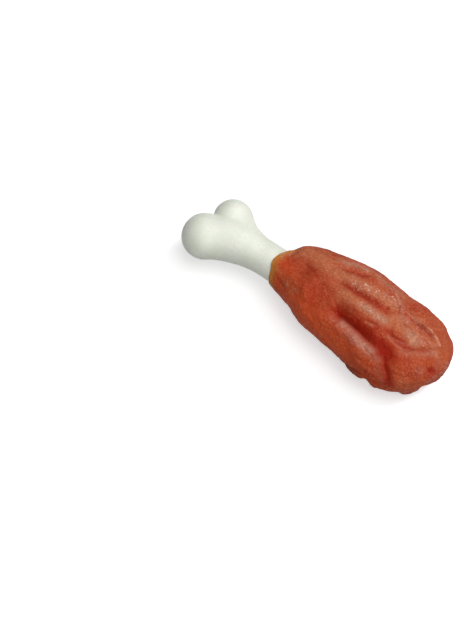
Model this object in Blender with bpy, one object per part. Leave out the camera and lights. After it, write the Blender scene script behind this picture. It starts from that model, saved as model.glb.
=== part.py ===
"""A dog chew of two pieces: dried duck meat wrapped round the shaft of a moulded white bone.

It lies on its flat underside with the folded face up. The bone's two lobes are at -X, the meat's round end
is at +X, and +Z is up. Lengths are in metres. A place on the meat is given by how far it is from the neck to
the tip, from 0 to 1, and by its angle round the section in degrees: 0 is the +Y side, 90 the top and 180 the
-Y side.
"""

import math
from dataclasses import dataclass

import bmesh
import bpy
import numpy as np

MM = 0.001

# The bone: two unequal lobes that lie flat, side by side, and a shaft that runs into the meat.
SHAFT_RADIUS = 5.35 * MM
SHAFT_Y = -0.15 * MM
SHAFT_Z = 9.0 * MM
SHAFT_END_X = 24.0 * MM  # the hidden round end, inside the meat
BIG_LOBE_RADIUS = 7.1 * MM
BIG_LOBE_X, BIG_LOBE_Y = -37.75 * MM, -5.0 * MM
SMALL_LOBE_RADIUS = 6.15 * MM
SMALL_LOBE_X, SMALL_LOBE_Y = -34.3 * MM, 4.75 * MM
SMALL_ROOT_RADIUS = 4.2 * MM  # the small lobe narrows to this inside the shaft
SMALL_ROOT_X, SMALL_ROOT_Y = -26.0 * MM, 0.2 * MM
HEAD_RADIUS = 6.3 * MM  # the shaft's thick end, where the lobes grow out of it
HEAD_X, HEAD_Y = -30.5 * MM, -0.8 * MM
SHAFT_EVEN_X = -20.0 * MM  # from here on the shaft keeps its radius
LOBE_BLEND = 1.3 * MM  # roundness of the crease between the lobes
HEAD_BLEND = 3.0 * MM  # roundness where each lobe meets the shaft

# The meat round it.
SOCKET_GAP = 0.3 * MM
LIP_THICKNESS = 0.6 * MM
MOUTH_X = -12.8 * MM
TONGUE_REACH = 2.0 * MM  # the mouth's edge runs out over the top of the shaft
TONGUE_ANGLE = 98.0
TONGUE_SPREAD = 45.0
TIP_X = 44.8 * MM
TIP_Y = 0.4 * MM
TIP_Z = 8.2 * MM
FLANK_Z = 8.6 * MM  # height of the meat's widest line
SECTION_FULLNESS = 0.86  # 1 makes the section an ellipse, less than 1 makes it squarer

# Places along the meat, as shares of its length.
FULLNESS_REACH = 0.15  # here the section has its full squareness
TONGUE_END = 0.12  # here the mouth's slant has run out
FLANK_REACH = 0.3  # here the widest line is at its own height
TIP_START = 0.667  # from here on it bends to the tip's height

# Mesh density.
BONE_RINGS, BONE_SIDES = 40, 36
MEAT_RINGS, MEAT_SIDES = 68, 62
BONE_STOPS = (0.0, 0.45, 0.80, 0.88, 1.0)  # shares of the rings: lobes' end, hub, mouth, dome, hidden end
HOLE_SHARE = 0.15  # share of the meat's rings that line its hole
HOLE_STOPS = (0.0, 0.35, 0.70, 1.0)  # shares of those rings: hole's bottom, dome's edge, lip, mouth's edge
LIP_START = 1.0 * MM  # how far inside the mouth's edge the lip starts
TOP_CROWDING = 0.3  # the meat's sides are closer together on the folded face
MARCH_STEPS = 60
PATH_SAMPLES = 40


@dataclass(frozen=True)
class Section:
    """A section of the meat: the plan places of its +Y and -Y edges, and its top and bottom, in mm."""

    right: tuple
    left: tuple
    top: float
    bottom: float


@dataclass(frozen=True)
class Fold:
    """A fold pressed into the meat along a path.

    The floor is depth deep. The low side, on the left hand going from the tip to the neck, is width wide and
    has a soft lip above it. The high side rises over flank to a ridge. Overhang pulls the ridge over the
    floor. All are in mm.
    """

    path: tuple
    depth: float
    width: float
    flank: float
    ridge: float = 0.0
    lip: float = 0.0
    overhang: float = 0.0


@dataclass(frozen=True)
class Lump:
    """A round swelling of the meat, or a hollow where height is negative. Radius and height are in mm."""

    place: tuple
    radius: float
    height: float


@dataclass(frozen=True)
class Finish:
    """What a piece is made of: the material's name and its look."""

    name: str
    colour: tuple
    roughness: float
    subsurface: float


CALCIUM = Finish("pressed calcium", (0.84, 0.86, 0.77), 0.5, 0.15)
DUCK_MEAT = Finish("dried duck meat", (0.42, 0.09, 0.035), 0.4, 0.2)
SUBSURFACE_DEPTH = 1.5 * MM

SECTIONS = (
    Section((-9.6, 10.2), (-10.6, -6.9), 16.3, 1.9),
    Section((-4.6, 12.6), (-5.2, -8.6), 17.5, 0.8),
    Section((1.6, 13.9), (0.6, -10.9), 18.5, 0.1),
    Section((9.4, 15.05), (7.4, -12.0), 19.0, -0.4),
    Section((16.6, 15.15), (14.2, -13.0), 19.2, -0.6),
    Section((23.8, 14.2), (21.6, -14.55), 18.9, -0.6),
    Section((30.8, 13.9), (29.0, -14.85), 18.0, -0.3),
    Section((37.0, 12.6), (35.6, -13.5), 16.6, 0.5),
    Section((41.6, 9.4), (40.4, -10.2), 14.6, 1.8),
    Section((44.2, 5.1), (43.6, -5.2), 12.0, 4.2),
)

FOLDS = {
    "deep groove": Fold(
        ((0.34, 124), (0.39, 125), (0.43, 124), (0.47, 123), (0.51, 122), (0.56, 123), (0.63, 126)),
        depth=2.6, width=1.3, flank=3.5, ridge=0.8, lip=0.6, overhang=0.6,
    ),
    "groove tail": Fold(
        ((0.60, 122), (0.635, 130), (0.66, 142), (0.69, 157), (0.71, 172)),
        depth=0.8, width=1.1, flank=1.8, ridge=0.2, lip=0.2,
    ),
    "upper crease": Fold(
        ((0.285, 92), (0.32, 89), (0.36, 87), (0.41, 87), (0.46, 86), (0.50, 83), (0.54, 81)),
        depth=1.2, width=1.3, flank=1.6, ridge=0.45, lip=0.35, overhang=0.3,
    ),
    "top crease": Fold(
        ((0.25, 77), (0.29, 73), (0.335, 69), (0.375, 63), (0.41, 52)),
        depth=0.7, width=1.1, flank=1.2, ridge=0.35, lip=0.15, overhang=0.2,
    ),
    "end wrinkle": Fold(
        ((0.55, 98), (0.59, 97), (0.63, 98), (0.66, 97), (0.69, 95)),
        depth=0.6, width=1.0, flank=1.2, ridge=0.25, lip=0.15,
    ),
    "end valley": Fold(
        ((0.57, 61), (0.605, 66), (0.64, 70), (0.68, 76), (0.735, 80), (0.79, 79)),
        depth=0.7, width=1.1, flank=1.3, ridge=0.25, lip=0.2,
    ),
    "cross crease": Fold(
        ((0.62, 113), (0.65, 105), (0.69, 101), (0.735, 93), (0.77, 85), (0.81, 75)),
        depth=0.7, width=1.1, flank=1.2, ridge=0.25, lip=0.3,
    ),
    "flap crease": Fold(
        ((0.50, 181), (0.54, 181), (0.58, 179), (0.64, 182), (0.70, 181), (0.76, 178)),
        depth=0.6, width=0.7, flank=0.7, ridge=0.2, lip=0.7,
    ),
    "wrap seam": Fold(
        ((0.06, 214), (0.18, 226), (0.32, 229), (0.46, 222), (0.62, 214), (0.78, 206), (0.90, 196)),
        depth=0.9, width=0.8, flank=2.2, ridge=0.2, lip=0.5,
    ),
    "back fold": Fold(
        ((0.10, -22), (0.24, -30), (0.40, -27), (0.56, -34), (0.72, -30), (0.84, -20)),
        depth=1.0, width=1.5, flank=1.9, ridge=0.3, lip=0.3,
    ),
    "back crease": Fold(
        ((0.42, 8), (0.54, 2), (0.66, 6), (0.78, -2)),
        depth=0.6, width=1.1, flank=1.2, ridge=0.2, lip=0.2,
    ),
    "neck crease": Fold(
        ((0.05, -70), (0.16, -58), (0.30, -62), (0.42, -54)),
        depth=0.8, width=1.2, flank=1.5, ridge=0.2, lip=0.2,
    ),
}

LUMPS = {
    "neck hollow": Lump((0.175, 97), 3.6, -0.8),
    "neck bulge": Lump((0.225, 126), 4.5, 0.6),
    "ridge foot": Lump((0.315, 112), 4.0, -0.6),
    "shoulder": Lump((0.225, 78), 5.0, 0.4),
    "side dent": Lump((0.13, 155), 2.0, -0.6),
    "fold junction": Lump((0.61, 116), 3.0, -0.8),
    "lower knuckle": Lump((0.72, 128), 5.0, 0.4),
    "tip dimple": Lump((0.84, 111), 2.1, -1.1),
}

RIDGE_PLACE, RIDGE_SPREAD = 1.65, 0.7  # the ridge's distance and width, as shares of the flank
LIP_PLACE, LIP_SPREAD = 2.3, 1.6  # the lip's, as shares of the floor's width
FOLD_FADE = 0.3  # share of a fold's length over which each end runs out
NECK_FADE = 0.05  # share of the meat's length over which the relief starts

SOCKET_RADIUS = SHAFT_RADIUS + SOCKET_GAP
RIM_RADIUS = SOCKET_RADIUS + LIP_THICKNESS
SHAFT_DOME_X = SHAFT_END_X - SHAFT_RADIUS
HUB_X = (BIG_LOBE_X + SMALL_LOBE_X) / 2
HUB_Y = (BIG_LOBE_Y + SMALL_LOBE_Y) / 2


def bell(x):
    """A smooth hump, 1 at 0 and near 0 beyond 2."""
    return np.exp(-x * x)


def ease(x):
    """A smooth step from 0 at 0 to 1 at 1."""
    x = np.clip(x, 0, 1)
    return x * x * (3 - 2 * x)


def smooth_min(a, b, blend):
    """The lesser of a and b, rounded where they are within blend of each other."""
    near = np.maximum(blend - np.abs(a - b), 0) / blend
    return np.minimum(a, b) - near * near * blend / 4


def smooth_curve(points, at):
    """Places on the Catmull-Rom curve through points, for at from 0 at the first point to 1 at the last."""
    points = np.asarray(points, float)
    before = 2 * points[0] - points[1]
    after = 2 * points[-1] - points[-2]
    points = np.vstack([before, points, after])
    spans = len(points) - 3
    place = np.clip(at, 0, 1) * spans
    span = np.minimum(place.astype(int), spans - 1)
    f = (place - span)[:, None]
    a, b, c, d = (points[span + i] for i in range(4))
    return b + 0.5 * f * ((c - a) + f * ((2 * a - 5 * b + 4 * c - d) + f * (3 * b - a - 3 * c + d)))


def taper_distance(points, start, start_radius, end, end_radius):
    """Distance of points from a rod with round ends whose radius changes evenly from start to end."""
    offset = points - np.array(start)
    rod = np.array(end) - np.array(start)
    length = np.linalg.norm(rod)
    sine = (start_radius - end_radius) / length  # of the angle between the rod's axis and its side
    along = offset @ rod / length
    beside = np.sqrt(np.maximum(np.sum(offset * offset, axis=1) - along * along, 0))
    share = np.clip((along - beside * sine / math.sqrt(1 - sine * sine)) / length, 0, 1)
    radius = start_radius + (end_radius - start_radius) * share
    return np.linalg.norm(offset - share[:, None] * rod, axis=1) - radius


def bone_distance(points):
    """Distance of points from the bone's surface, negative inside."""
    head = (HEAD_X, HEAD_Y, SHAFT_Z)
    even = (SHAFT_EVEN_X, SHAFT_Y, SHAFT_Z)
    dome = (SHAFT_DOME_X, SHAFT_Y, SHAFT_Z)
    big_lobe = (BIG_LOBE_X, BIG_LOBE_Y, SHAFT_Z)
    small_lobe = (SMALL_LOBE_X, SMALL_LOBE_Y, SHAFT_Z)
    small_root = (SMALL_ROOT_X, SMALL_ROOT_Y, SHAFT_Z)
    big = taper_distance(points, big_lobe, BIG_LOBE_RADIUS, head, HEAD_RADIUS)
    small = taper_distance(points, small_lobe, SMALL_LOBE_RADIUS, small_root, SMALL_ROOT_RADIUS)
    neck = taper_distance(points, head, HEAD_RADIUS, even, SHAFT_RADIUS)
    shaft = np.minimum(neck, taper_distance(points, even, SHAFT_RADIUS, dome, SHAFT_RADIUS))
    lobes = smooth_min(big, small, LOBE_BLEND)
    return smooth_min(lobes, shaft, HEAD_BLEND)


def bone_surface(share, around):
    """Points of the bone, from the lobes' end at share 0 to the hidden end at 1, at an angle round it."""
    spine_x = np.interp(share, BONE_STOPS, (HUB_X, HUB_X, MOUTH_X, SHAFT_DOME_X, SHAFT_DOME_X))
    spine_y = np.interp(spine_x, (HUB_X, SHAFT_EVEN_X), (HUB_Y, SHAFT_Y))
    tilt = np.interp(share, BONE_STOPS, (-math.pi / 2, 0.0, 0.0, 0.0, math.pi / 2))
    out = np.stack([np.sin(tilt), np.cos(tilt) * np.cos(around), np.cos(tilt) * np.sin(around)], axis=1)
    points = np.stack([spine_x, spine_y, np.full_like(spine_x, SHAFT_Z)], axis=1)
    for _ in range(MARCH_STEPS):
        points = points - out * bone_distance(points)[:, None]
    return points


def section_table():
    """The meat's sections in metres, with the round mouth put first and the tip last."""
    mouth_right = (MOUTH_X, SHAFT_Y + RIM_RADIUS)
    mouth_left = (MOUTH_X, SHAFT_Y - RIM_RADIUS)
    mouth = (*mouth_right, *mouth_left, SHAFT_Z + RIM_RADIUS, SHAFT_Z - RIM_RADIUS)
    middle = [[value * MM for value in (*s.right, *s.left, s.top, s.bottom)] for s in SECTIONS]
    tip = (TIP_X, TIP_Y, TIP_X, TIP_Y, TIP_Z, TIP_Z)
    return np.array([mouth, *middle, tip])


def fuller(value, power):
    """A sine or cosine drawn out towards a square wave."""
    return np.sign(value) * np.abs(value) ** power


def plain_meat(along, around):
    """Points of the meat's outer surface before any fold, at a share of its length and an angle."""
    right_x, right_y, left_x, left_y, top, bottom = smooth_curve(section_table(), along).T
    power = 1 + (SECTION_FULLNESS - 1) * ease(along / FULLNESS_REACH)
    across = fuller(np.cos(around), power)
    up = np.where(np.sin(around) > 0, fuller(np.sin(around), power), np.sin(around))
    middle = SHAFT_Z + (FLANK_Z - SHAFT_Z) * ease(along / FLANK_REACH)
    middle = middle + (TIP_Z - FLANK_Z) * ease((along - TIP_START) / (1 - TIP_START))
    x = (right_x + left_x) / 2 + (right_x - left_x) / 2 * across
    x = x - tongue(around) * (1 - ease(along / TONGUE_END))
    y = (right_y + left_y) / 2 + (right_y - left_y) / 2 * across
    z = middle + np.where(up > 0, top - middle, middle - bottom) * up
    return np.stack([x, y, z], axis=1)


def tongue(around):
    """How far the mouth's edge reaches out along the shaft at an angle."""
    off = (np.degrees(around) - TONGUE_ANGLE + 180) % 360 - 180
    return TONGUE_REACH * bell(off / TONGUE_SPREAD)


def outward(along, around):
    """The plain surface's outward unit normals."""
    step = 0.002
    tiny = 1e-15  # keeps the poles, where the cross product vanishes, from dividing by zero
    ahead = plain_meat(along + step, around) - plain_meat(along - step, around)
    aside = plain_meat(along, around + step) - plain_meat(along, around - step)
    normal = np.cross(aside, ahead)
    return normal / (np.linalg.norm(normal, axis=1)[:, None] + tiny)


def path_on_meat(path):
    """Points along a fold's path, and the directions from them to the high side."""
    turned = [(along, math.radians(angle)) for along, angle in path]
    turned = smooth_curve(turned, np.linspace(0, 1, PATH_SAMPLES))
    points = plain_meat(turned[:, 0], turned[:, 1])
    normals = outward(turned[:, 0], turned[:, 1])
    ways = np.gradient(points, axis=0)
    ways /= np.linalg.norm(ways, axis=1)[:, None]
    return points, np.cross(normals, ways)


def places_by_path(points, path):
    """For each point: its share of the path's length, its distance to the high side, that side's direction,
    and its distance from the path.
    """
    route, sides = path_on_meat(path)
    nearest = np.full(len(points), np.inf)
    share = np.zeros(len(points))
    beside = np.zeros(len(points))
    side = np.zeros((len(points), 3))
    last = len(route) - 1
    for i in range(last):
        step = route[i + 1] - route[i]
        part = np.clip((points - route[i]) @ step / (step @ step), 0, 1)
        off = points - route[i] - part[:, None] * step
        distance = np.linalg.norm(off, axis=1)
        closer = distance < nearest
        blend = sides[i] + part[:, None] * (sides[i + 1] - sides[i])
        nearest[closer] = distance[closer]
        share[closer] = (i + part[closer]) / last
        beside[closer] = np.sum(off * blend, axis=1)[closer]
        side[closer] = blend[closer]
    return share, beside, side, nearest


def fold_moves(points, normals, fold):
    """How a fold moves the points of the plain surface."""
    share, beside, side, nearest = places_by_path(points, fold.path)
    width, flank = fold.width * MM, fold.flank * MM
    strength = ease(share / FOLD_FADE) * ease((1 - share) / FOLD_FADE)
    strength = strength * bell(np.maximum(nearest - np.abs(beside), 0) / flank)
    floor = -fold.depth * MM * bell(np.where(beside < 0, beside / width, beside / flank))
    ridge = fold.ridge * MM * bell((beside / flank - RIDGE_PLACE) / RIDGE_SPREAD)
    lip = fold.lip * MM * bell((beside / width + LIP_PLACE) / LIP_SPREAD)
    pull = -fold.overhang * MM * bell(beside / flank - 1)
    rise = strength * (floor + ridge + lip)
    return rise[:, None] * normals + (strength * pull)[:, None] * side


def relief(points, normals):
    """How all the folds and lumps together move the points of the plain surface."""
    moves = np.zeros_like(points)
    for fold in FOLDS.values():
        moves += fold_moves(points, normals, fold)
    for lump in LUMPS.values():
        along, angle = lump.place
        centre = plain_meat(np.array([along]), np.array([math.radians(angle)]))
        distance = np.linalg.norm(points - centre, axis=1)
        moves += (lump.height * MM * bell(distance / (lump.radius * MM)))[:, None] * normals
    return moves


def folded_meat(along, around):
    """Points of the meat's outer surface, folded, and flat where it lies on the ground."""
    points = plain_meat(along, around)
    points = points + relief(points, outward(along, around)) * ease(along / NECK_FADE)[:, None]
    points[:, 2] = np.maximum(points[:, 2], 0)
    return points


def socket_surface(share, around):
    """Points of the blind hole that the shaft fills, from its bottom at share 0 to the mouth's edge at 1."""
    tilt = np.interp(share, HOLE_STOPS, (math.pi / 2, 0.0, 0.0, 0.0))
    x = np.interp(share, HOLE_STOPS, (SHAFT_DOME_X, SHAFT_DOME_X, MOUTH_X + LIP_START, MOUTH_X))
    dome_edge, lip_edge = HOLE_STOPS[1:3]
    lip_turn = np.interp(share, (lip_edge, 1.0), (0.0, math.pi))
    lip_radius = LIP_THICKNESS / 2
    radius = SOCKET_RADIUS * np.cos(tilt) + lip_radius * (1 - np.cos(lip_turn))
    reach = tongue(around) * ease((share - dome_edge) / (lip_edge - dome_edge))
    x = x + SOCKET_RADIUS * np.sin(tilt) - lip_radius * np.sin(lip_turn) - reach
    return np.stack([x, SHAFT_Y + radius * np.cos(around), SHAFT_Z + radius * np.sin(around)], axis=1)


def meat_surface(share, around):
    """Points of the whole meat, from the bottom of its hole at share 0, over the mouth, to the tip at 1."""
    around = around + TOP_CROWDING * np.cos(around)
    outside = folded_meat(np.clip((share - HOLE_SHARE) / (1 - HOLE_SHARE), 0, 1), around)
    inside = socket_surface(np.clip(share / HOLE_SHARE, 0, 1), around)
    return np.where((share < HOLE_SHARE)[:, None], inside, outside)


def wrapped_sphere(name, rings, sides, surface):
    """A closed mesh object: a sphere with its poles on X, each vertex moved to where surface puts it."""
    bm = bmesh.new()
    bmesh.ops.create_uvsphere(bm, u_segments=sides, v_segments=rings, radius=1.0)
    points = np.array([vert.co for vert in bm.verts])
    share = 1 - np.arccos(np.clip(points[:, 2], -1, 1)) / math.pi
    around = np.arctan2(points[:, 1], points[:, 0])
    for vert, place in zip(bm.verts, surface(share, around)):
        vert.co = place
    mesh = bpy.data.meshes.new(name)
    bm.to_mesh(mesh)
    bm.free()
    mesh.shade_smooth()
    return bpy.data.objects.new(name, mesh)


def add_material(obj, finish):
    """Gives obj a Principled material of its own."""
    material = bpy.data.materials.new(finish.name)
    material.use_nodes = True
    shader = material.node_tree.nodes["Principled BSDF"]
    shader.inputs["Base Color"].default_value = (*finish.colour, 1.0)
    shader.inputs["Roughness"].default_value = finish.roughness
    shader.inputs["Metallic"].default_value = 0.0
    shader.inputs["Subsurface Weight"].default_value = finish.subsurface
    shader.inputs["Subsurface Scale"].default_value = SUBSURFACE_DEPTH
    obj.data.materials.append(material)


def main():
    """Clears the scene and builds the chew in a collection of its own."""
    for obj in list(bpy.data.objects):
        bpy.data.objects.remove(obj)
    chew = bpy.data.collections.new("duck_chew")
    bpy.context.scene.collection.children.link(chew)

    bone = wrapped_sphere("bone", BONE_RINGS, BONE_SIDES, bone_surface)
    add_material(bone, CALCIUM)
    chew.objects.link(bone)

    meat = wrapped_sphere("meat", MEAT_RINGS, MEAT_SIDES, meat_surface)
    add_material(meat, DUCK_MEAT)
    chew.objects.link(meat)


main()
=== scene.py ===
"""The looks of a dog chew: dried duck meat wrapped round the shaft of a moulded white bone.

It lies on its flat underside with the folded face up. The bone's two lobes are at -X, the meat's round end
is at +X, and +Z is up. Lengths are in metres, and a size in a field that says so is in mm. A place on the
meat is given by how far it is from the neck to the tip, from 0 to 1, and by its angle round the section in
degrees: 0 is the +Y side, 90 the top and 180 the -Y side.
"""

import logging
import math
from collections.abc import Callable
from dataclasses import dataclass
from enum import Enum

import bmesh
import bpy
import numpy as np
from bpy.types import Material, Node, Object
from bpy.types import NodeSocket as Socket
from bpy.types import NodeTree as Tree
from mathutils import Matrix, Vector, noise

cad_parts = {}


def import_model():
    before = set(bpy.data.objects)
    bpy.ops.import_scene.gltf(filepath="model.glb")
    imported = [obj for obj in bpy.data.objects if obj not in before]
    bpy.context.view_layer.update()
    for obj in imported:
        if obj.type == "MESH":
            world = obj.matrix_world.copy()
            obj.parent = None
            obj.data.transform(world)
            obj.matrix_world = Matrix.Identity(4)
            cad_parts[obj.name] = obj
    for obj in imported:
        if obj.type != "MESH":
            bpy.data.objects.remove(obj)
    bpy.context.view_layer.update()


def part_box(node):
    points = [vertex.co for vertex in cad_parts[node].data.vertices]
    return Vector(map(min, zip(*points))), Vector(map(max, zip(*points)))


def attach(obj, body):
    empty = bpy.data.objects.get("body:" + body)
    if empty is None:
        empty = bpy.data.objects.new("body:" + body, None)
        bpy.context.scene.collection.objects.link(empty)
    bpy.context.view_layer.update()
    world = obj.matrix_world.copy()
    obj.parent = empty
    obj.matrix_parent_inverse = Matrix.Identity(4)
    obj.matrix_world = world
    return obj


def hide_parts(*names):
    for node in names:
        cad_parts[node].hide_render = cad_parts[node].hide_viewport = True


MM = 0.001
log = logging.getLogger("duck_chew")

Array = np.ndarray
Path = tuple[tuple[float, float], ...]


# ---------------- curves and numbers


def bell(x: Array) -> Array:
    """Returns a smooth hump, 1 at 0 and near 0 beyond 2."""
    return np.exp(-x * x)


def notch(x: Array) -> Array:
    """Returns a hump like bell's whose tip is nearly sharp."""
    tip, fall = 0.2, 1.6
    return np.exp(-fall * (np.sqrt(x * x + tip * tip) - tip))


def ease(x: Array) -> Array:
    """Returns a smooth step from 0 at 0 to 1 at 1."""
    x = np.clip(x, 0, 1)
    return x * x * (3 - 2 * x)


def smooth_min(a: Array, b: Array, blend: float) -> Array:
    """Returns the lesser of a and b, rounded where they are within blend of each other."""
    near = np.maximum(blend - np.abs(a - b), 0) / blend
    return np.minimum(a, b) - near * near * blend / 4


def smooth_curve(points: Array, at: Array) -> Array:
    """Walks the Catmull-Rom curve through points.

    Args:
        points: The points, one a row.
        at: Places on the curve, from 0 at the first point to 1 at the last.

    Returns:
        One row for each place.
    """
    points = np.asarray(points, float)
    before = 2 * points[0] - points[1]
    after = 2 * points[-1] - points[-2]
    points = np.vstack([before, points, after])
    spans = len(points) - 3
    place = np.clip(at, 0, 1) * spans
    span = np.minimum(place.astype(int), spans - 1)
    f = (place - span)[:, None]
    a, b, c, d = (points[span + i] for i in range(4))
    return b + 0.5 * f * ((c - a) + f * ((2 * a - 5 * b + 4 * c - d) + f * (3 * b - a - 3 * c + d)))


def linear_colour(code: str) -> tuple[float, float, float, float]:
    """Turns an sRGB hex code to the linear colour that a shader takes."""
    parts = [int(code[i : i + 2], 16) / 255 for i in (0, 2, 4)]
    red, green, blue = (p / 12.92 if p <= 0.04045 else ((p + 0.055) / 1.055) ** 2.4 for p in parts)
    return red, green, blue, 1.0


def noise_values(places: Array) -> Array:
    """Returns smooth noise at each place, between about -1 and 1."""
    return np.array([noise.noise(place) for place in places.tolist()])


# ---------------- relief


class Tint(Enum):
    """The meat's uneven colours. Each is kept in a mesh attribute of that name, from 0 to 1."""

    DEEP_SHADE = "deep"  # painted shade: dark, pure red in the folds, creases and hollows
    PAINTED_LIGHT = "painted_light"  # painted light: bright orange-red on the weakly lit flanks, edges and dips
    TAN = "tan"  # tan on the ridges and upper faces, partly dried meat and partly painted highlight
    PALE_SHEEN = "pale"  # grey-pink on ridges and fold walls, partly dried juice and partly painted sheen
    AMBER = "amber"  # thin edges that light shines through
    BROWN = "brown"  # edges that have dried hard
    CREST_HIGHLIGHT = "crest"  # painted highlights: fine bright lines and dots on sharp ridges
    WET_AND_GLINTS = "wet"  # a thin coat of juice on the high places, with painted glints in the colour


@dataclass(frozen=True)
class Section:
    """A section of the meat: the plan places of its +Y and -Y edges, and its top and bottom, in mm."""

    right: tuple[float, float]
    left: tuple[float, float]
    top: float
    bottom: float


@dataclass(frozen=True)
class Fold:
    """A fold pressed into the meat along a path.

    The floor is depth deep. The low side, on the left hand going from the tip to the neck, is width wide and
    has a soft lip above it. The high side rises over flank to a ridge, which overhang pulls over the floor.
    All are in mm. The share deep says how strongly the floor takes painted shade, which spreads furthest up
    the high side, and the share pale how strongly the low side's wall takes painted sheen.
    """

    path: Path
    depth: float
    width: float
    flank: float
    ridge: float = 0.0
    lip: float = 0.0
    overhang: float = 0.0
    deep: float = 0.5
    pale: float = 0.2


@dataclass(frozen=True)
class Lump:
    """A round swelling of the meat, or a hollow where height is negative. Radius and height are in mm."""

    place: tuple[float, float]
    radius: float
    height: float


@dataclass(frozen=True)
class Stain:
    """A patch of a tint along a path of one place or more. The radius is in mm."""

    path: Path
    radius: float
    strength: float


@dataclass(frozen=True)
class Grain:
    """One layer of fine unevenness: its size and height in mm, and how much longer it is along the meat."""

    size: float
    height: float
    stretch: float
    seed: float

    def values(self, points: Array) -> Array:
        """Returns the layer's noise at points of the surface."""
        scale = np.array([1 / self.stretch, 1.0, 1.0]) / (self.size * MM)
        return noise_values(points * scale + self.seed)

    def heights(self, points: Array) -> Array:
        """Returns how far the layer lifts each point, about zero on average."""
        return self.height * MM * self.values(points)


@dataclass(frozen=True)
class Crackle(Grain):
    """A net of fine creases in the meat's dried skin, along the lines where the noise is zero."""

    sharpness: float

    def heights(self, points: Array) -> Array:
        """Returns how far the net moves each point: minus its height in a crease, and zero far from one."""
        return -self.height * MM * np.exp(-np.abs(self.values(points)) * self.sharpness)


# The large folds. After its path, each has its depth, width and flank.
FOLDS = {
    "deep groove": Fold(
        ((0.35, 122), (0.39, 121), (0.43, 119.5), (0.47, 119), (0.51, 118), (0.56, 120), (0.625, 124.5)),
        2.4, 1.6, 3.2, ridge=0.7, lip=0.5, overhang=0.5, deep=1.2, pale=0.35,
    ),
    "groove tail": Fold(
        ((0.60, 122), (0.635, 130), (0.66, 142), (0.69, 157), (0.71, 172)),
        0.45, 1.5, 1.9, ridge=0.1, lip=0.1, deep=0.7,
    ),
    "upper crease": Fold(
        ((0.29, 91), (0.33, 88), (0.37, 87), (0.41, 86), (0.445, 85), (0.48, 83), (0.52, 80.5)),
        0.85, 1.1, 1.5, ridge=0.3, lip=0.15, overhang=0.3, deep=0.7, pale=0.1,
    ),
    "top crease": Fold(
        ((0.26, 71), (0.294, 69), (0.325, 68), (0.359, 65), (0.38, 61), (0.40, 54), (0.41, 46)),
        0.55, 0.9, 1.1, ridge=0.25, lip=0.1, overhang=0.2, deep=0.6, pale=0.1,
    ),
    "end wrinkle": Fold(
        ((0.55, 98), (0.59, 97), (0.63, 98), (0.66, 97), (0.69, 95)),
        0.4, 0.9, 1.1, ridge=0.1, lip=0.05, deep=0.6, pale=0.1,
    ),
    "end valley": Fold(
        ((0.57, 62), (0.605, 68), (0.645, 72.5), (0.68, 75), (0.73, 75.5), (0.79, 73.5)),
        0.5, 1.0, 1.1, ridge=0.25, lip=0.15, pale=0.0,
    ),
    "cross crease": Fold(
        ((0.62, 113), (0.65, 105), (0.69, 101), (0.735, 93), (0.77, 85), (0.81, 75)),
        0.35, 0.9, 1.1, ridge=0.05, lip=0.05, deep=0.4, pale=0.15,
    ),
    "flap crease": Fold(
        ((0.50, 181), (0.54, 181), (0.58, 179), (0.64, 182), (0.70, 181), (0.76, 178)),
        0.6, 0.7, 0.7, ridge=0.2, lip=0.7, deep=0.3,
    ),
    "wrap seam": Fold(
        ((0.06, 214), (0.18, 226), (0.32, 229), (0.46, 222), (0.62, 214), (0.78, 206), (0.90, 196)),
        0.9, 0.8, 2.2, ridge=0.2, lip=0.5, deep=0.8,
    ),
    "back fold": Fold(
        ((0.10, -22), (0.24, -30), (0.40, -27), (0.56, -34), (0.72, -30), (0.84, -20)),
        1.0, 1.5, 1.9, ridge=0.3, lip=0.3, deep=0.6,
    ),
    "back crease": Fold(
        ((0.42, 8), (0.54, 2), (0.66, 6), (0.78, -2)), 0.6, 1.1, 1.2, ridge=0.2, lip=0.2, deep=0.4
    ),
    "neck crease": Fold(
        ((0.05, -70), (0.16, -58), (0.30, -62), (0.42, -54)), 0.8, 1.2, 1.5, ridge=0.2, lip=0.2
    ),
}

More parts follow.
